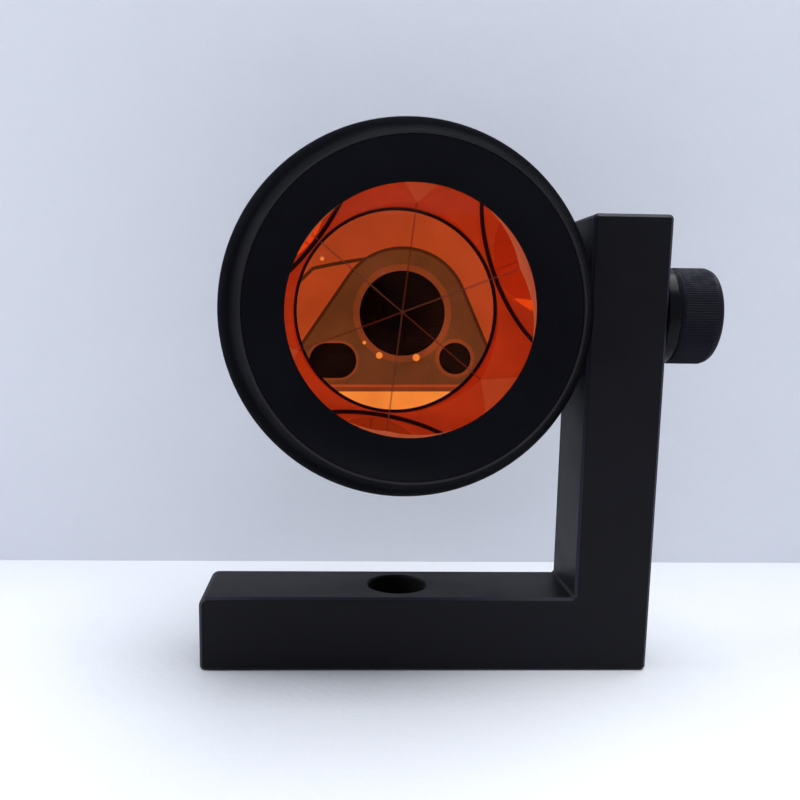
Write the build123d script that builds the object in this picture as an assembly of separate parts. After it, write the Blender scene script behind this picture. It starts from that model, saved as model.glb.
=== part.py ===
from build123d import *
from math import cos, pi, radians, sin, sqrt
import os

os.makedirs("parts", exist_ok=True)

# Survey prism on an L-shaped bar. All sizes in mm.
# Origin: where the axis of the foot's hole meets the underside of the foot.
# +Z is up, +X runs from the hole towards the post, and the prism looks along -Y.

# ---------------------------------------------------------------- driving sizes
# Prism glass: a round corner cube
glass_radius = 19.0
glass_side_land = 0.6           # height of the round side where it is lowest
glass_chamfer = 0.45            # blackened chamfer round the front face
glass_edge_bevel = 0.25         # bevels on the three rear edges
edge_azimuth = 21.7             # where the first rear edge points, degrees from +X
coating_thickness = 0.1

# Housing that holds the glass
front_wall = 6.3                # aperture edge to the housing's sharp front rim
barrel_bulge = 5.5              # the middle of the barrel beyond the front rim
aperture_step = 0.5             # how much smaller the aperture is than the glass
opening_to_pivot = 19.3         # aperture plane to the tilt axis
dish_depth = 3.6                # front rim to aperture plane
glass_recess = 0.9              # aperture plane to the front face of the glass
back_to_pivot = 18.0            # tilt axis to the flat back
back_rounding = 7.0
seat_depth = 1.3                # flat cut into the side of the barrel
rim_land = 0.35

# Front ring, seal and cushion
ring_flange_depth = 3.7         # rim to the shoulder the flange sits on
ring_thread_depth = 4.0         # length of the threaded part behind the flange
ring_thread_wall = 2.85
seal_section_radius = 0.4
cushion_thickness = 1.2
cushion_inner_radius = 11.0
pocket_end_radius = 1.2         # where the cone-shaped pocket behind the glass stops

# Clamp screw, M10 with a low round head
thread_radius = 5.0
screw_length = 22.0
head_radius = 8.0
head_height = 7.2
head_rounding = 1.2
head_groove = 0.55              # chamfer on the head's inner edge, beside the washer
hex_across_flats = 7.0
hex_depth = 4.2
knurl_count = 120
knurl_depth = 0.13
knurl_start = 0.7               # from the head's inner face
knurl_end_margin = 1.3
lock_washer_thickness = 2.2
lock_washer_gap = 0.9
lock_washer_rounding = 0.45
friction_washer_thickness = 0.45

# Bracket
bracket_depth = 15.5
foot_thickness = 12.8
post_thickness = 12.8
foot_overhang = 33.4            # hole axis to the free end of the foot
foot_to_head_gap = 16.8         # top of the foot to the lowest point of the barrel
post_above_pivot = 15.9
foot_hole_radius = 5.0
foot_hole_chamfer = 0.4
inner_corner_radius = 0.6
foot_tip_radius = 1.5
outer_corner_radius = 0.8
edge_break = 0.5

# Clearances
glass_fit = 0.15                # glass coating to housing bore, radial
ring_fit = 0.05                 # front ring to housing, radial
seal_fit = 0.01
cushion_fit = 0.03
thread_fit = 0.05               # screw thread to its tapped hole, radial
post_hole_fit = 0.3             # screw thread to the plain hole in the post, radial
washer_fit = 0.10               # screw thread to the lock washer, radial
screw_tip_room = 0.7

# ---------------------------------------------------------------- derived sizes
aperture_radius = glass_radius - aperture_step
rim_radius = aperture_radius + front_wall
housing_radius = rim_radius + barrel_bulge
seat_x = housing_radius - seat_depth
post_inner_x = seat_x + friction_washer_thickness
post_outer_x = post_inner_x + post_thickness
washer_outer_x = post_outer_x + lock_washer_thickness
head_outer_x = washer_outer_x + head_height
screw_tip_x = washer_outer_x - screw_length
tilt_height = foot_thickness + foot_to_head_gap + housing_radius
bracket_height = tilt_height + post_above_pivot

aperture_y = -opening_to_pivot
rim_y = aperture_y - dish_depth
glass_face_y = aperture_y + glass_recess
glass_height = glass_radius * sqrt(2) + glass_side_land
apex_y = glass_face_y + glass_height
coating_apex_y = apex_y + coating_thickness * sqrt(3)
cushion_apex_y = coating_apex_y + cushion_fit
pocket_apex_y = cushion_apex_y + cushion_thickness * sqrt(1.5)
bore_radius = glass_radius + coating_thickness + glass_fit
shoulder_y = rim_y + ring_flange_depth
ring_back_y = shoulder_y + ring_thread_depth
flange_radius = rim_radius - rim_land
ring_thread_radius = bore_radius + ring_thread_wall

tilt_axis = Location((0, 0, tilt_height))


# ---------------------------------------------------------------- helpers
def save(part, node):
    """Write one node's solids to its own STEP file."""
    part.label = node
    export_step(part, f"parts/{node}.step")


def turned(points):
    """Turn a closed (radius, y) outline about the optical axis, then lift it to the tilt axis."""
    outline = make_face(Polyline([(r, y) for r, y in points], close=True))
    return tilt_axis * revolve(outline, Axis.Y)


def along_x(radius, x_from, x_to):
    """A cylinder on the tilt axis between two X positions."""
    length = x_to - x_from
    place = Location(((x_from + x_to) / 2, 0, tilt_height))
    return place * Rotation(0, 90, 0) * Cylinder(radius, length)


def cone_y(radius, apex):
    """Where a cone along the cube's rear edges reaches a radius."""
    return apex - radius / sqrt(2)


def corner_block(apex, bevel=0.0):
    """The solid corner of a cube, apex at y = apex, opening along -Y."""
    rays = []
    for k in range(3):
        a = radians(edge_azimuth + 120 * k)
        rays.append(Vector(cos(a) * sqrt(2 / 3), -1 / sqrt(3), sin(a) * sqrt(2 / 3)))
    if rays[0].cross(rays[1]).dot(rays[2]) < 0:
        rays[1], rays[2] = rays[2], rays[1]
    side = 4 * glass_radius
    block = Box(side, side, side, align=(Align.MIN, Align.MIN, Align.MIN))
    if bevel:
        rear = [e for e in block.edges() if (e @ 0).length < 1e-6 or (e @ 1).length < 1e-6]
        block = chamfer(rear, bevel)
    return Plane(origin=(0, apex, tilt_height), x_dir=rays[0], z_dir=rays[2]) * block


# ---------------------------------------------------------------- bracket
# One bar machined to an L: a foot with a plain bolt hole and a post for the clamp screw.
foot_left = -foot_overhang
corners = [
    (foot_left, 0),
    (post_outer_x, 0),
    (post_outer_x, bracket_height),
    (post_inner_x, bracket_height),
    (post_inner_x, foot_thickness),
    (foot_left, foot_thickness),
]
profile = make_face(Polyline(corners, close=True))


def corner_at(x, z):
    return min(profile.vertices(), key=lambda v: (Vector(v.X, v.Y) - Vector(x, z)).length)


profile = fillet(corner_at(post_inner_x, foot_thickness), inner_corner_radius)
profile = fillet(corner_at(foot_left, foot_thickness), foot_tip_radius)
for x, z in [corners[0], corners[1], corners[2], corners[3]]:
    profile = fillet(corner_at(x, z), outer_corner_radius)
bracket = extrude(Plane.XZ * profile, bracket_depth / 2, both=True)
rims = bracket.faces().sort_by(Axis.Y)
bracket = chamfer(rims[0].edges() + rims[-1].edges(), edge_break)
bracket -= Cylinder(foot_hole_radius, 3 * foot_thickness)
chamfer_depth = foot_hole_chamfer
mouth = Cone(foot_hole_radius, foot_hole_radius + chamfer_depth, chamfer_depth)
bracket -= Pos(0, 0, foot_thickness - chamfer_depth / 2) * mouth
bracket -= along_x(thread_radius + post_hole_fit, post_inner_x - 1, post_outer_x + 1)
save(bracket, "l_bracket")

# ---------------------------------------------------------------- housing
# A barrel with a closed round back, a flat seat on the post's side and a tapped pivot hole.
arc_radius = (rim_y ** 2 + barrel_bulge ** 2) / (2 * barrel_bulge)


def barrel_radius(y):
    return housing_radius - arc_radius + sqrt(arc_radius ** 2 - y ** 2)


back_radius = barrel_radius(back_to_pivot)
barrel_arc = ThreePointArc((rim_radius, rim_y), (housing_radius, 0), (back_radius, back_to_pivot))
barrel_rest = Polyline(
    [(back_radius, back_to_pivot), (0, back_to_pivot), (0, rim_y), (rim_radius, rim_y)]
)
barrel = tilt_axis * revolve(make_face(barrel_arc + barrel_rest), Axis.Y)
back_edge = barrel.edges().filter_by(GeomType.CIRCLE).sort_by(Axis.Y)[-1]
barrel = fillet(back_edge, back_rounding)
cavity = turned([
    (0, rim_y - 1),
    (flange_radius, rim_y - 1),
    (flange_radius, shoulder_y),
    (ring_thread_radius, shoulder_y),
    (ring_thread_radius, ring_back_y),
    (bore_radius, ring_back_y),
    (bore_radius, cone_y(bore_radius, pocket_apex_y)),
    (pocket_end_radius, cone_y(pocket_end_radius, pocket_apex_y)),
    (0, cone_y(pocket_end_radius, pocket_apex_y)),
])
housing = barrel - cavity
cut = 4 * housing_radius
housing -= Location((seat_x + cut / 2, 0, tilt_height)) * Box(cut, cut, cut)
housing -= along_x(thread_radius, screw_tip_x - screw_tip_room, seat_x + 1)
save(housing, "housing")

# ---------------------------------------------------------------- front ring
# Dished ring screwed into the front; its thin lip is the aperture and holds the seal.
ring_outer = flange_radius - ring_fit
ring_thread = ring_thread_radius - ring_fit
seal_r = glass_radius - glass_chamfer / 2 + seal_section_radius / sqrt(2)
seal_y = glass_face_y + glass_chamfer / 2 - seal_section_radius / sqrt(2)
pocket_radius = seal_r + seal_section_radius
lip_back_y = seal_y - seal_section_radius
ring_front_y = rim_y + 0.5
dish = ThreePointArc(
    (ring_outer, ring_front_y),
    ((ring_outer + aperture_radius) / 2, (ring_front_y + aperture_y) / 2 + 0.35),
    (aperture_radius, aperture_y),
)
ring_rest = Polyline([
    (aperture_radius, aperture_y),
    (aperture_radius, lip_back_y),
    (pocket_radius, lip_back_y),
    (pocket_radius, ring_back_y),
    (ring_thread, ring_back_y),
    (ring_thread, shoulder_y),
    (ring_outer, shoulder_y),
    (ring_outer, ring_front_y),
])
front_ring = tilt_axis * revolve(make_face(dish + ring_rest), Axis.Y)
save(front_ring, "front_ring")

# ---------------------------------------------------------------- seal
# Rubber O-ring pressed on the blackened chamfer of the glass.
seal_face = Pos(seal_r, seal_y) * Circle(seal_section_radius - seal_fit)
save(tilt_axis * revolve(seal_face, Axis.Y), "front_seal")

# ---------------------------------------------------------------- prism glass
# Corner cube ground round: flat front, three square rear facets meeting at the apex.
blank = turned([
    (0, glass_face_y),
    (glass_radius - glass_chamfer, glass_face_y),
    (glass_radius, glass_face_y + glass_chamfer),
    (glass_radius, apex_y + 1),
    (0, apex_y + 1),
])
glass = blank & corner_block(apex_y, glass_edge_bevel)
save(glass, "prism_glass")

# ---------------------------------------------------------------- coating
# Copper film and its lacquer over the rear facets and the round side.
coat_radius = glass_radius + coating_thickness
coat = turned([
    (0, glass_face_y + glass_chamfer),
    (coat_radius, glass_face_y + glass_chamfer),
    (coat_radius, apex_y + 2),
    (0, apex_y + 2),
])
coating = (coat & corner_block(coating_apex_y)) - (blank & corner_block(apex_y, glass_edge_bevel))
save(coating, "copper_coating")

# ---------------------------------------------------------------- cushion
# Soft cone-shaped ring that the three rear edges of the glass lie on.
cushion_outer = bore_radius - cushion_fit
cushion = turned([
    (cushion_inner_radius, cone_y(cushion_inner_radius, cushion_apex_y)),
    (cushion_outer, cone_y(cushion_outer, cushion_apex_y)),
    (cushion_outer, cone_y(cushion_outer, pocket_apex_y - cushion_fit)),
    (cushion_inner_radius, cone_y(cushion_inner_radius, pocket_apex_y - cushion_fit)),
])
save(cushion, "prism_cushion")

# ---------------------------------------------------------------- friction washer
# Thin plastic disc between the post and the barrel's flat seat.
disc_outer = min(7.0, bracket_depth / 2 - 0.5)
friction = along_x(disc_outer, seat_x, post_inner_x)
friction -= along_x(thread_radius + post_hole_fit, seat_x - 1, post_inner_x + 1)
save(friction, "friction_washer")

# ---------------------------------------------------------------- lock washer
# Split spring washer under the screw head, drawn flat as it is when tight.
washer = along_x(head_radius, post_outer_x, washer_outer_x)
washer = fillet(washer.edges().filter_by(GeomType.CIRCLE), lock_washer_rounding)
washer -= along_x(thread_radius + washer_fit, post_outer_x - 1, washer_outer_x + 1)
split = Box(3 * lock_washer_thickness, 1.5 * head_radius, lock_washer_gap)
split = Rotation(0, 25, 0) * Pos(0, 0.75 * head_radius, 0) * split
washer -= Location(((post_outer_x + washer_outer_x) / 2, 0, tilt_height)) * split
save(washer, "lock_washer")

# ---------------------------------------------------------------- clamp screw
# Low round head with a fine straight knurl and a hexagon socket, on an M10 thread.
core_radius = head_radius - knurl_depth
head = along_x(core_radius, washer_outer_x, head_outer_x)
head_rims = head.edges().filter_by(GeomType.CIRCLE).sort_by(Axis.X)
head = fillet(head_rims[-1], head_rounding)
head = chamfer(head.edges().filter_by(GeomType.CIRCLE).sort_by(Axis.X)[0], head_groove)
ridges = []
for k in range(2 * knurl_count):
    a = pi * k / knurl_count
    r = head_radius if k % 2 else core_radius - 0.02
    ridges.append((r * cos(a), r * sin(a)))
knurl_length = head_height - knurl_start - knurl_end_margin
knurl = extrude(make_face(Polyline(ridges, close=True)), knurl_length)
knurl = Location((washer_outer_x + knurl_start, 0, tilt_height)) * Rotation(0, 90, 0) * knurl
shank = along_x(thread_radius - thread_fit, screw_tip_x, washer_outer_x + 1)
shank = chamfer(shank.edges().filter_by(GeomType.CIRCLE).sort_by(Axis.X)[0], 0.8)
screw = head + knurl + shank
socket = extrude(RegularPolygon(hex_across_flats / 2, 6, major_radius=False), hex_depth)
socket_place = Location((head_outer_x - hex_depth, 0, tilt_height)) * Rotation(0, 90, 0)
screw -= socket_place * socket
drill = Cone(0, hex_across_flats / 2 - 0.1, 1.0)
screw -= Location((head_outer_x - hex_depth - 0.4, 0, tilt_height)) * Rotation(0, 90, 0) * drill
mouth_radius = hex_across_flats / 2 / cos(pi / 6) + 0.2
lead_in = Cone(mouth_radius - 0.6, mouth_radius, 0.6)
screw -= Location((head_outer_x - 0.3, 0, tilt_height)) * Rotation(0, 90, 0) * lead_in
save(screw, "clamp_screw")
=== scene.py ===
import math

import bmesh
import bpy
from mathutils import Matrix, Vector


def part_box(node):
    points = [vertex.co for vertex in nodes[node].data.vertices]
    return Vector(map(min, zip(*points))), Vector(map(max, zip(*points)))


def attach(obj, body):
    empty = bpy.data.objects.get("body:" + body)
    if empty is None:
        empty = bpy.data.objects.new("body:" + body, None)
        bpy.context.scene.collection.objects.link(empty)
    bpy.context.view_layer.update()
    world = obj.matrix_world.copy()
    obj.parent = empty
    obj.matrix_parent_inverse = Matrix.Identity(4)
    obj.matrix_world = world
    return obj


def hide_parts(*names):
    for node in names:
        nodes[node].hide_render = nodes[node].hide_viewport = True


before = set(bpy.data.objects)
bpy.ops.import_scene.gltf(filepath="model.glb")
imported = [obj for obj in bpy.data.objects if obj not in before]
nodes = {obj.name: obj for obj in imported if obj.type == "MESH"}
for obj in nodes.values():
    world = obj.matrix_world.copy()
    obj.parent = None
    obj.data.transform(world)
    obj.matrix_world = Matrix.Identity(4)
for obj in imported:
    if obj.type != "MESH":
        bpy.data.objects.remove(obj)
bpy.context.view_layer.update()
MM = 0.001

# ---------------------------------------------------------------- viewpoint
# A hand-held close view: a little left of the prism's axis, level with it and
# looking slightly down, near enough for the foot and post to show their depth.
EYE = Vector((-10.5, -148.1, 60.5)) * MM
TURN_RIGHT, LOOK_DOWN, ROLL = (math.radians(a) for a in (2.23, 8.85, 0.84))

ahead = Vector((
    math.sin(TURN_RIGHT) * math.cos(LOOK_DOWN),
    math.cos(TURN_RIGHT) * math.cos(LOOK_DOWN),
    -math.sin(LOOK_DOWN),
))
level_right = Vector((math.cos(TURN_RIGHT), -math.sin(TURN_RIGHT), 0))
level_up = level_right.cross(ahead)
right = level_right * math.cos(ROLL) + level_up * math.sin(ROLL)
up = level_up * math.cos(ROLL) - level_right * math.sin(ROLL)
eye_frame = Matrix((right, up, -ahead)).transposed().to_4x4()
eye_frame.translation = EYE

lens = bpy.data.cameras.new("eye")
lens.sensor_width = 36
lens.lens = 39.5
lens.shift_x = 0.035
lens.shift_y = 0.056
lens.clip_start = 0.002
lens.clip_end = 20
eye = bpy.data.objects.new("eye", lens)
eye.matrix_world = eye_frame
bpy.context.scene.collection.objects.link(eye)
bpy.context.scene.camera = eye


# ---------------------------------------------------------------- the bar
# One aluminium bar milled to an L, bead-blasted and black anodised. The post takes
# the pivot screw; the foot has one plain bolt hole and stands flat.
class Wire:
    """A socket in a material's node tree. Arithmetic on it adds Math nodes."""

    def __init__(self, tree, socket=None):
        self.tree = tree
        self.socket = socket

    def make(self, kind, settings=None, out=0, **inputs):
        """Adds one node: its settings first, then the values or links of its sockets."""
        node = self.tree.nodes.new("ShaderNode" + kind)
        for name, value in (settings or {}).items():
            if name == "stops":
                ramp = node.color_ramp.elements
                while len(ramp) < len(value):
                    ramp.new(1)
                for element, (position, colour) in zip(ramp, value):
                    element.position = position
                    element.color = (*colour, 1)
            else:
                setattr(node, name, value)
        for name, value in inputs.items():
            key = int(name[1:]) if name[0] == "_" else name.replace("_", " ")
            if isinstance(value, Wire):
                self.tree.links.new(value.socket, node.inputs[key])
            else:
                node.inputs[key].default_value = value
        return Wire(self.tree, node.outputs[out] if node.outputs else None)

    def math(self, operation, *values):
        sockets = {f"_{i}": value for i, value in enumerate(values)}
        return self.make("Math", {"operation": operation}, **sockets)

    def __add__(self, other):
        return self.math("ADD", self, other)

    def __radd__(self, other):
        return self.math("ADD", other, self)

    def __sub__(self, other):
        return self.math("SUBTRACT", self, other)

    def __rsub__(self, other):
        return self.math("SUBTRACT", other, self)

    def __abs__(self):
        return self.math("ABSOLUTE", self)

    def __mul__(self, other):
        return self.math("MULTIPLY", self, other)

    def __rmul__(self, other):
        return self.math("MULTIPLY", other, self)

    def __truediv__(self, other):
        return self.math("DIVIDE", self, other)

    def __rtruediv__(self, other):
        return self.math("DIVIDE", other, self)

    def __pow__(self, other):
        return self.math("POWER", self, other)

    def clamped(self, low, high):
        return self.math("MINIMUM", self.math("MAXIMUM", self, low), high)

    def step(self, low, high):
        """0 below low, 1 above high, smooth between."""
        kind = {"interpolation_type": "SMOOTHSTEP"}
        return self.make("MapRange", kind, Value=self, From_Min=low, From_Max=high)


def new_material(name):
    material = bpy.data.materials.new(name)
    material.use_nodes = True
    material.node_tree.nodes.clear()
    return material, Wire(material.node_tree)


def own_place(tree):
    """The point on the piece, in metres."""
    return tree.make("TexCoord", out="Object")


def lengths(tree, place):
    """The X, Y and Z of a point."""
    split = tree.make("SeparateXYZ", Vector=place).socket.node
    return [Wire(tree.tree, output) for output in split.outputs]


def noise(tree, place, scale, detail, stretch=None):
    if stretch:
        place = tree.make("Mapping", Vector=place, Scale=stretch)
    return tree.make("TexNoise", Vector=place, Scale=scale, Detail=detail, Roughness=0.55)


def shade(tree, **inputs):
    surface = tree.make("BsdfPrincipled", **inputs)
    tree.make("OutputMaterial", Surface=surface)


def tint(tree, amount, first, second):
    return tree.make("ValToRGB", {"stops": [(0, first), (1, second)]}, Fac=amount)


def dress(node_name, material):
    """Gives a carried-over solid its finish, in every material slot that it has."""
    slots = nodes[node_name].data.materials
    if len(slots) == 0:
        slots.append(material)
    for i in range(len(slots)):
        slots[i] = material


ANODISE_DARK = (0.0025, 0.0027, 0.0044)
ANODISE_PALE = (0.0048, 0.0050, 0.0084)
# Grey of the painted highlight along the bar's edges.
EDGE_HIGHLIGHT_GREY = (0.026, 0.026, 0.038)
# Near black of the painted shade inside the bolt hole.
BORE_SHADE_BLACK = (0.0006, 0.0006, 0.0008)
HOLE_RADIUS = 5.0 * MM
HALF_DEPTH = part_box("l_bracket")[1].y


def mixed(tree, amount, first, second):
    """A colour between a varying one and a fixed one."""
    return tree.make("Mix", {"data_type": "RGBA"}, out=2, _0=amount, _6=first, _7=(*second, 1))


def bar_black():
    """Black anodise over a bead-blasted surface: fine even grain, faint rubbed clouds."""
    material, tree = new_material("bar_black_anodise")
    place = own_place(tree)
    x, y = lengths(tree, place)[:2]
    clouds = noise(tree, place, 55, detail=4).step(0.35, 0.70)
    grain = noise(tree, place, 7500, detail=2)
    streaks = noise(tree, place, 420, detail=2, stretch=(1, 14, 1)).step(0.58, 0.80)
    bump = tree.make("Bump", Height=grain + 0.4 * streaks, Strength=0.22, Distance=0.04 * MM)
    gloss = 0.44 + 0.10 * clouds - 0.05 * streaks + 0.05 * grain
    # Painted shade: the wall of the bolt hole and a thin ring round its mouth are coloured near
    # black, and made rougher.
    bore_shade = 1 - ((x * x + y * y) ** 0.5).step(HOLE_RADIUS + 0.05 * MM, HOLE_RADIUS + 0.30 * MM)
    inwards = HALF_DEPTH - abs(y)
    # Painted highlight: a band along the edges round the front and back faces is coloured grey,
    # standing in for the light these edges catch.
    edge = inwards.step(0.02 * MM, 0.14 * MM) * (1 - inwards.step(0.45 * MM, 0.75 * MM))
    colour = tint(tree, clouds * 0.7 + grain * 0.3, ANODISE_DARK, ANODISE_PALE)
    colour = mixed(tree, edge * (0.75 + 0.25 * clouds), colour, EDGE_HIGHLIGHT_GREY)
    shade(
        tree,
        Base_Color=mixed(tree, bore_shade, colour, BORE_SHADE_BLACK),
        Roughness=gloss + 0.35 * bore_shade,
        Specular_IOR_Level=0.15,
        Normal=bump,
    )
    return material


dress("l_bracket", bar_black())

# ---------------------------------------------------------------- the barrel and its front ring
# Both are turned from aluminium and black anodised, so faint tool marks run round the
# optical axis. The ring screws into the mouth of the barrel; its edge is the aperture.
TILT_HEIGHT = sum(p.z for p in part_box("front_ring")) / 2
RIM_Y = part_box("housing")[0].y
# How far back the painted highlight behind the front rim reaches, and its grey.
RIM_HIGHLIGHT_DEPTH = 4.5 * MM
RIM_HIGHLIGHT_GREY = (0.036, 0.036, 0.040)
BARREL_DARK = (0.0090, 0.0092, 0.0120)
BARREL_PALE = (0.0150, 0.0154, 0.0200)


def turned_surface(tree, mark_width, mark_depth):
    """Tool marks round the optical axis: their bump and height, slow clouds, and Y."""
    place = own_place(tree)
    x, y, z = lengths(tree, place)
    rise = z - TILT_HEIGHT
    along = (x * x + rise * rise) ** 0.5 + y
    wobble = noise(tree, place, 160, detail=2)
    marks = tree.math("SINE", (along / mark_width + wobble * 0.6) * (2 * math.pi))
    grain = noise(tree, place, 6500, detail=2)
    clouds = noise(tree, place, 70, detail=4).step(0.35, 0.70)
    height = marks * mark_depth + grain * 0.5
    bump = tree.make("Bump", Height=height, Strength=0.20, Distance=0.03 * MM)
    return bump, marks, clouds, y


def barrel_black():
    """Matt black anodise, with a painted highlight: the flank is coloured grey for a few mm
    behind the sharp front rim.
    """
    material, tree = new_material("barrel_black_anodise")
    bump, marks, clouds, y = turned_surface(tree, mark_width=0.22 * MM, mark_depth=0.5)
    colour = tint(tree, clouds * 0.6 + marks * 0.1 + 0.2, BARREL_DARK, BARREL_PALE)
    # Painted highlight: grey fading out over the first few mm behind the front rim, standing in
    # for the light the forward-tilted flank catches there.
    rim_highlight = (1 - (y - RIM_Y).step(0, RIM_HIGHLIGHT_DEPTH)) * (0.8 + 0.2 * clouds)
    shade(
        tree,
        Base_Color=mixed(tree, rim_highlight, colour, RIM_HIGHLIGHT_GREY),
        Metallic=0.8,
        Roughness=0.40 + 0.08 * clouds + 0.02 * marks,
        Specular_IOR_Level=0.0,
        Specular_Tint=(0, 0, 0, 1),
        Normal=bump,
    )
    return material


def ring_black():
    material, tree = new_material("ring_black_anodise")
    bump, marks, clouds, _ = turned_surface(tree, mark_width=0.16 * MM, mark_depth=0.35)
    shade(
        tree,
        Base_Color=tint(tree, clouds * 0.6 + marks * 0.1 + 0.2, ANODISE_DARK, ANODISE_PALE),
        Roughness=0.46 + 0.08 * clouds + 0.02 * marks,
        Specular_IOR_Level=0.04,
        Normal=bump,
    )
    return material


dress("housing", barrel_black())
dress("front_ring", ring_black())

# ---------------------------------------------------------------- the glass
# A corner cube ground round. Its rear facets and side carry a bright copper film, its
# front chamfer is blackened, and the three rear edges are lightly bevelled and frosted.
glass_low, glass_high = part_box("prism_glass")
GLASS_RADIUS = (glass_high.x - glass_low.x) / 2
FACE_Y = glass_low.y
CHAMFER = 0.45 * MM
EDGE_BEVEL = 0.02 * MM
LOWEST_SIDE = 0.6 * MM
EDGE_AZIMUTH = 21.7
ARC_STEPS = 40
APEX_Y = FACE_Y + GLASS_RADIUS * math.sqrt(2) + LOWEST_SIDE
POLISH, LACQUER, FILM, GROUND, FROST = range(5)

FILM_COPPER = (0.955, 0.55, 0.31)
EDGE_PINK = (0.78, 0.41, 0.27)
SIDE_RED = (0.98, 0.30, 0.11)
SIDE_GLOW = (0.172, 0.038, 0.018)


def polished_glass():
    """Clear crown glass, polished and lightly bloomed."""
    material, tree = new_material("prism_front_polish")
    place = own_place(tree)
    haze = noise(tree, place, 260, detail=4).step(0.62, 0.86)
    shade(
        tree,
        Base_Color=(1.0, 0.985, 0.97, 1),
        Roughness=haze * 0.012,
        IOR=1.517,
        Transmission_Weight=1.0,
        Specular_Tint=(0.12, 0.10, 0.14, 1),
    )
    return material


def edge_distance(tree, place):
    """How far a point is from the nearest of the three rear edges."""
    from_apex = tree.make(
        "VectorMath", {"operation": "SUBTRACT"}, _0=place, _1=(0, APEX_Y, TILT_HEIGHT)
    )
    nearest = None
    outward, forward = math.sqrt(2 / 3), math.sqrt(1 / 3)
    for k in range(3):
        a = math.radians(EDGE_AZIMUTH + 120 * k)
        edge = (outward * math.cos(a), -forward, outward * math.sin(a))
        across = tree.make("VectorMath", {"operation": "CROSS_PRODUCT"}, _0=from_apex, _1=edge)
        distance = tree.make("VectorMath", {"operation": "LENGTH"}, out=1, _0=across)
        nearest = distance if nearest is None else tree.math("MINIMUM", nearest, distance)
    return nearest


def copper_film():
    """Copper film seen through the glass it is laid on, thin and cloudy at the rear edges."""
    material, tree = new_material("facet_copper_film")
    place = own_place(tree)
    stain = noise(tree, place, 130, detail=3).step(0.3, 0.8)
    thin = 1 - edge_distance(tree, place).step(0.10 * MM, 0.34 * MM)
    darker = tuple(c * 0.94 for c in FILM_COPPER)
    shade(
        tree,
        Base_Color=mixed(tree, thin, tint(tree, stain, FILM_COPPER, darker), EDGE_PINK),
        Metallic=1 - thin * 0.12,
        Roughness=stain * 0.002,
    )
    return material


def ground_side():
    """The round side: ground, so matt, under the same copper film. Its glow stands for the
    light that the real cube gathers from the whole room."""
    material, tree = new_material("side_ground_copper")
    place = own_place(tree)
    stain = noise(tree, place, 150, detail=4).step(0.3, 0.8)
    grain = noise(tree, place, 4000, detail=2)
    shade(
        tree,
        Base_Color=tint(tree, stain, SIDE_RED, tuple(c * 0.88 for c in SIDE_RED)),
        Metallic=0.30,
        Roughness=0.70 + grain * 0.1,
        Emission_Color=tint(tree, stain, SIDE_GLOW, tuple(c * 0.85 for c in SIDE_GLOW)),
        Emission_Strength=1.0,
    )
    return material


def black_lacquer():
    material, tree = new_material("chamfer_black_lacquer")
    place = own_place(tree)
    grain = noise(tree, place, 3000, detail=2)
    shade(
        tree,
        Base_Color=tint(tree, grain, (0.004, 0.004, 0.004), (0.012, 0.011, 0.011)),
        Roughness=0.55 + grain * 0.2,
    )
    return material


def frosted_edge():
    material, tree = new_material("rear_edge_frost")
    place = own_place(tree)
    grain = noise(tree, place, 2500, detail=2)
    shade(
        tree,
        Base_Color=tint(tree, grain, (0.30, 0.14, 0.10), (0.45, 0.24, 0.18)),
        Roughness=0.6 + grain * 0.2,
    )
    return material


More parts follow.
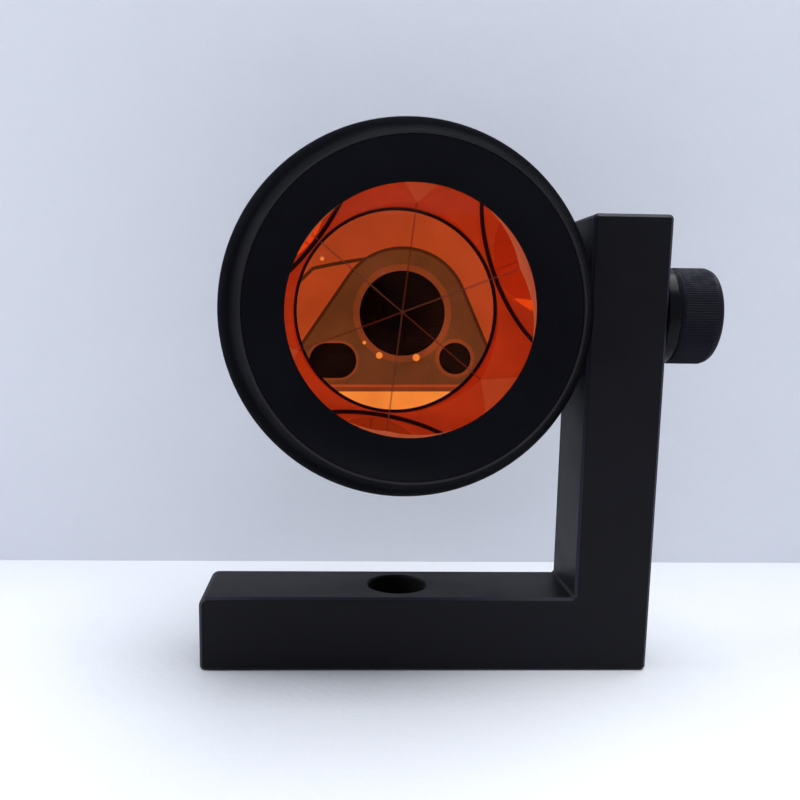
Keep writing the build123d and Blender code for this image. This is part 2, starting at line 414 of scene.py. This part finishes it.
def corner_cube():
    """The glass as one closed skin: face, chamfer, side, three facets and edge bevels.
    Seen from behind, a facet's border runs at 60 degrees to its centre line, and the
    quadratic finds where that border meets the round side."""
    skin = bmesh.new()
    inset = EDGE_BEVEL * math.sqrt(2)
    root = math.sqrt(4 * inset ** 2 - 16 / 3 * (inset ** 2 - GLASS_RADIUS ** 2))
    end = (2 * inset + root) / (8 / 3)
    end_angle = math.atan2(end - inset, end / math.sqrt(3))

    def point(centre, radial, across, depth):
        a = math.radians(centre)
        return Vector((
            radial * math.cos(a) - across * math.sin(a),
            APEX_Y - depth,
            TILT_HEIGHT + radial * math.sin(a) + across * math.cos(a),
        ))

    facets = []
    rim = []
    for k in range(3):
        centre = EDGE_AZIMUTH + 60 + 120 * k
        tip = skin.verts.new(point(centre, inset / math.sqrt(3), 0, inset * math.sqrt(2 / 3)))
        arc = []
        for i in range(ARC_STEPS + 1):
            a = end_angle * (2 * i / ARC_STEPS - 1)
            radial = GLASS_RADIUS * math.cos(a)
            across = GLASS_RADIUS * math.sin(a)
            arc.append(skin.verts.new(point(centre, radial, across, radial * math.sqrt(2))))
        facets.append((tip, arc))
        rim += arc
    for tip, arc in facets:
        for i in range(ARC_STEPS):
            skin.faces.new((tip, arc[i], arc[i + 1])).material_index = FILM
    for k in range(3):
        tip, arc = facets[k]
        next_tip, next_arc = facets[(k + 1) % 3]
        skin.faces.new((tip, arc[-1], next_arc[0], next_tip)).material_index = FROST
    skin.faces.new([tip for tip, arc in facets]).material_index = FROST

    foot, lip = [], []
    for v in rim:
        flat = Vector((v.co.x, 0, v.co.z - TILT_HEIGHT)).normalized()
        at = flat * GLASS_RADIUS
        foot.append(skin.verts.new((at.x, FACE_Y + CHAMFER, at.z + TILT_HEIGHT)))
        at = flat * (GLASS_RADIUS - CHAMFER)
        lip.append(skin.verts.new((at.x, FACE_Y, at.z + TILT_HEIGHT)))
    middle = skin.verts.new((0, FACE_Y, TILT_HEIGHT))
    for i in range(len(rim)):
        j = (i + 1) % len(rim)
        skin.faces.new((rim[i], rim[j], foot[j], foot[i])).material_index = GROUND
        skin.faces.new((foot[i], foot[j], lip[j], lip[i])).material_index = LACQUER
        skin.faces.new((lip[i], lip[j], middle)).material_index = POLISH
    bmesh.ops.recalc_face_normals(skin, faces=skin.faces)
    for face in skin.faces:
        face.smooth = face.material_index in (LACQUER, GROUND)
    mesh = bpy.data.meshes.new("corner_cube_prism")
    skin.to_mesh(mesh)
    skin.free()
    return mesh


prism_mesh = corner_cube()
for finish in (polished_glass(), black_lacquer(), copper_film(), ground_side(), frosted_edge()):
    prism_mesh.materials.append(finish)
prism = bpy.data.objects.new("corner_cube_prism", prism_mesh)
bpy.context.scene.collection.objects.link(prism)
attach(prism, "prism_head")
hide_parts("prism_glass", "copper_coating")


# ---------------------------------------------------------------- seal and cushion
# Moulded black rubber: an O-ring that presses on the glass's chamfer, and a soft cone
# that the rear edges lie on. Both are inside the closed barrel.
def moulded_rubber():
    material, tree = new_material("moulded_black_rubber")
    place = own_place(tree)
    grain = noise(tree, place, 2200, detail=3)
    bump = tree.make("Bump", Height=grain, Strength=0.3, Distance=0.05 * MM)
    shade(
        tree,
        Base_Color=tint(tree, grain, (0.010, 0.010, 0.010), (0.022, 0.021, 0.020)),
        Roughness=0.68 + 0.15 * grain,
        Normal=bump,
    )
    return material


rubber = moulded_rubber()
dress("front_seal", rubber)
dress("prism_cushion", rubber)


# ---------------------------------------------------------------- friction washer
# A thin disc stamped from black nylon sheet. It lies between the post and the barrel's
# flat seat, on the pivot, so that the head tilts without scraping.
def stamped_nylon():
    material, tree = new_material("friction_washer_nylon")
    place = own_place(tree)
    grain = noise(tree, place, 1800, detail=3)
    shade(
        tree,
        Base_Color=tint(tree, grain, (0.012, 0.012, 0.012), (0.030, 0.030, 0.030)),
        Roughness=0.5 + 0.2 * grain,
    )
    return material


dress("friction_washer", stamped_nylon())

# ---------------------------------------------------------------- screw and lock washer
# A low-head M10 clamp screw with a fine straight knurl, and a split spring washer as
# wide as the head. Both are steel, chemically blackened, and rubbed brighter by fingers.
SCREW_BLACK = (0.013, 0.013, 0.018)
WASHER_BLACK = (0.0035, 0.0035, 0.0055)
RUBBED_STEEL = (0.050, 0.049, 0.056)
# Grey of the dust and painted sheen on the screw's upper side.
DUST_AND_SHEEN_GREY = (0.105, 0.108, 0.128)
HEAD_RADIUS = 8.0 * MM
CREST_DEPTH = 0.12 * MM


def blackened_steel(name, black, roughness, rub, shine, dust_and_sheen_amount):
    """Black oxide, rubbed on the crests of the knurl, and greyer on its upper side: partly
    dust, partly a painted sheen.
    """
    material, tree = new_material(name)
    place = own_place(tree)
    y, z = lengths(tree, place)[1:]
    rise = z - TILT_HEIGHT
    radius = (y * y + rise * rise) ** 0.5
    crest = radius.step(HEAD_RADIUS - CREST_DEPTH, HEAD_RADIUS)
    patches = noise(tree, place, 300, detail=4).step(0.45, 0.75)
    scratches = noise(tree, place, 900, detail=2, stretch=(6, 1, 1)).step(0.60, 0.72)
    worn = (crest * patches * rub + scratches * 0.35 * rub).clamped(0, 1)
    # Dust and painted sheen: the upper side is mixed towards grey in mottled patches, partly
    # dust and partly standing in for the sheen of the light from above.
    upper = rise.step(0.30 * HEAD_RADIUS, 1.05 * HEAD_RADIUS)
    mottle = noise(tree, place, 700, detail=4).step(0.38, 0.66)
    dust_and_sheen = upper * (0.45 + 0.55 * mottle) * dust_and_sheen_amount
    grain = noise(tree, place, 5200, detail=3)
    bump = tree.make("Bump", Height=grain + scratches * 0.5, Strength=0.25, Distance=0.04 * MM)
    shade(
        tree,
        Base_Color=mixed(tree, dust_and_sheen, tint(tree, worn, black, RUBBED_STEEL), DUST_AND_SHEEN_GREY),
        Metallic=0.2 * worn,
        Roughness=(roughness + 0.12 * patches - 0.08 * worn).clamped(0.1, 0.9),
        Specular_IOR_Level=shine,
        Normal=bump,
    )
    return material


screw_steel = blackened_steel(
    "screw_black", SCREW_BLACK, roughness=0.42, rub=0.16, shine=0.03, dust_and_sheen_amount=0.55
)
washer_steel = blackened_steel(
    "washer_black", WASHER_BLACK, roughness=0.24, rub=0.03, shine=0.09, dust_and_sheen_amount=0.0
)
dress("clamp_screw", screw_steel)
dress("lock_washer", washer_steel)


# ---------------------------------------------------------------- table, wall and light
# A white table top and a plain white wall close behind, lit from above and from the
# left by large soft sources, with dim air all round.
def matt_white(name, pale, dark, grain_scale, one_sided):
    """Matt paint, faintly uneven. One-sided paint is clear when seen from behind."""
    material, tree = new_material(name)
    place = own_place(tree)
    clouds = noise(tree, place, 9, detail=4).step(0.3, 0.75)
    grain = noise(tree, place, grain_scale, detail=4)
    bump = tree.make("Bump", Height=clouds * 4 + grain, Strength=0.15, Distance=0.6 * MM)
    paint = tree.make(
        "BsdfPrincipled",
        Base_Color=tint(tree, clouds * 0.7 + grain * 0.3, pale, dark),
        Roughness=0.75,
        Specular_IOR_Level=0.2,
        Normal=bump,
    )
    if one_sided:
        clear = tree.make("BsdfTransparent")
        behind = tree.make("NewGeometry", out="Backfacing")
        paint = tree.make("MixShader", _0=behind, _1=paint, _2=clear)
    tree.make("OutputMaterial", Surface=paint)
    return material


def panel(name, corners, material):
    """A flat piece of the surroundings, which isn't part of the object."""
    mesh = bpy.data.meshes.new(name)
    mesh.from_pydata([Vector(c) for c in corners], [], [tuple(range(len(corners)))])
    mesh.materials.append(material)
    piece = bpy.data.objects.new(name, mesh)
    bpy.context.scene.collection.objects.link(piece)
    return piece


WALL_Y = 57 * MM
WALL_HEIGHT = 190 * MM
REACH = 1200 * MM
table_white = matt_white("table_white", (0.79, 0.805, 0.835), (0.74, 0.755, 0.79), 700, False)
wall_white = matt_white("wall_white", (0.80, 0.815, 0.865), (0.745, 0.76, 0.815), 300, True)
panel(
    "table_top",
    [(-REACH, -REACH, 0), (REACH, -REACH, 0), (REACH, REACH, 0), (-REACH, REACH, 0)],
    table_white,
)
panel(
    "wall",
    [
        (-REACH, WALL_Y, 0),
        (REACH, WALL_Y, 0),
        (REACH, WALL_Y, WALL_HEIGHT),
        (-REACH, WALL_Y, WALL_HEIGHT),
    ],
    wall_white,
)


def soft_box(name, at, towards, width, height, power, colour):
    light = bpy.data.lights.new(name, "AREA")
    light.shape = "RECTANGLE"
    light.size = width
    light.size_y = height
    light.energy = power
    light.color = colour
    lamp = bpy.data.objects.new(name, light)
    lamp.location = at
    aim = Vector(towards) - Vector(at)
    lamp.rotation_euler = aim.to_track_quat("-Z", "Y").to_euler()
    bpy.context.scene.collection.objects.link(lamp)


soft_box(
    "overhead",
    at=(0.15, 0.00, 0.62),
    towards=(0.05, 0.0, 0.02),
    width=0.55,
    height=0.40,
    power=4.4,
    colour=(0.97, 0.985, 1.0),
)
soft_box(
    "left",
    at=(-0.60, 0.00, 0.30),
    towards=(0.0, 0.0, 0.05),
    width=0.30,
    height=0.40,
    power=2.7,
    colour=(0.96, 0.98, 1.0),
)

world = bpy.data.worlds.new("dim_air")
world.use_nodes = True
air = world.node_tree.nodes["Background"]
air.inputs["Color"].default_value = (0.76, 0.82, 0.98, 1)
air.inputs["Strength"].default_value = 0.45
bpy.context.scene.world = world


# ---------------------------------------------------------------- plate round the eye
# What the glass looks back at: a hand-held plate with a ledge, a few sparks of light and
# a raised island with three dark windows, and bright air above it. It shows only in
# reflections and through glass. Sizes are mm from the eye, to its right and upwards.
PLATE_BACK = 2.5
ISLAND_TOP = 24.0
PLATE_TOP = 24.8
EDGE_TOP = 26.3
ISLAND_LINE_WIDTH = 1.1
LAYER_GAP = 0.05
RIM_SIDES = 144
MAIN_WINDOW = [((0, 0), 14.3)]
SLOT_WINDOW = [((21.3, 15.9), 5.9), ((25.3, 15.9), 5.9)]
SMALL_WINDOW = [((-17.7, 15.2), 5.3)]
WINDOWS = [(MAIN_WINDOW, 2.2), (SLOT_WINDOW, 0.8), (SMALL_WINDOW, 1.2)]
ISLAND = [((0, 0), 21.4), ((23.3, 15.9), 11.2), ((-17.7, 15.2), 10.9)]
PLATE = [((-45, 0), 60), ((45, 0), 60), ((-45, -30), 60), ((45, -30), 60)]
BRIGHT_AIR = [((-20, 30), 22), ((20, 30), 22)]
SPARKS = [((7.7, 14.2), 1.1), ((-4.7, 14.9), 1.2), ((12.7, 9.9), 0.6), ((26.9, -18.3), 0.7)]
LEDGE = [(11.3, -18.5), (23.3, -16.5), (30.0, -15.1), (34.7, -10.5), (37.0, -4.0)]
LEDGE_HALF_WIDTH = 0.6


def glow(name, first, second):
    """A surface that shines by itself, a little cloudy."""
    material, tree = new_material(name)
    place = own_place(tree)
    clouds = noise(tree, place, 60, detail=3).step(0.3, 0.7)
    shade(
        tree,
        Base_Color=(0, 0, 0, 1),
        Specular_IOR_Level=0.0,
        Emission_Color=tint(tree, clouds, first, second),
        Emission_Strength=1.0,
    )
    material.cycles.emission_sampling = "NONE"
    return material


def rounded_panel(name, circles, material, level, grow=0, top=math.inf):
    """The smallest panel round some circles, grown, and cut off level at its top. A higher
    level is nearer to the object, so it covers a lower one."""
    points = []
    for i in range(RIM_SIDES):
        a = 2 * math.pi * i / RIM_SIDES
        out = Vector((math.cos(a), math.sin(a)))
        centre, radius = max(circles, key=lambda c: Vector(c[0]).dot(out) + c[1])
        x, y = Vector(centre) + out * (radius + grow)
        back = ahead * (PLATE_BACK - LAYER_GAP * level)
        points.append(EYE + (right * x + up * min(y, top) - back) * MM)
    piece = panel(name, points, material)
    piece.visible_camera = False
    piece.visible_shadow = False
    piece.visible_diffuse = False


plate_glow = glow("plate_glow", (0.52, 0.33, 0.37), (0.45, 0.28, 0.31))
island_glow = glow("island_glow", (0.18, 0.23, 0.34), (0.13, 0.17, 0.25))
line_glow = glow("line_glow", (0.10, 0.10, 0.11), (0.07, 0.07, 0.08))
edge_glow = glow("edge_glow", (0.26, 0.22, 0.27), (0.20, 0.18, 0.22))
trim_glow = glow("trim_glow", (0.31, 0.28, 0.38), (0.22, 0.21, 0.30))
window_glow = glow("window_glow", (0.010, 0.014, 0.022), (0.001, 0.001, 0.002))
bright_glow = glow("bright_glow", (1.15, 1.60, 1.25), (1.00, 1.25, 1.15))

rounded_panel("bright_air", BRIGHT_AIR, bright_glow, level=0)
rounded_panel("plate_edge", PLATE, edge_glow, level=1, top=EDGE_TOP)
rounded_panel("plate", PLATE, plate_glow, level=2, top=PLATE_TOP)
for i, (start, end) in enumerate(zip(LEDGE, LEDGE[1:])):
    ends = [(start, LEDGE_HALF_WIDTH), (end, LEDGE_HALF_WIDTH)]
    rounded_panel(f"ledge_{i}", ends, line_glow, level=2.5 + 0.1 * i)
rounded_panel("island_line", ISLAND, line_glow, level=3, grow=ISLAND_LINE_WIDTH, top=ISLAND_TOP)
rounded_panel("island", ISLAND, island_glow, level=4, top=ISLAND_TOP)
for i, (window, trim_width) in enumerate(WINDOWS):
    rounded_panel(f"window_trim_{i}", window, trim_glow, level=5, grow=trim_width)
    rounded_panel(f"window_{i}", window, window_glow, level=6)
for i, spark in enumerate(SPARKS):
    rounded_panel(f"spark_{i}", [spark], bright_glow, level=7)

# Enough bounces for light to run through the corner cube and back out of it.
bpy.context.scene.view_settings.view_transform = "Standard"
bpy.context.scene.cycles.max_bounces = 20
bpy.context.scene.cycles.glossy_bounces = 14
bpy.context.scene.cycles.transmission_bounces = 14
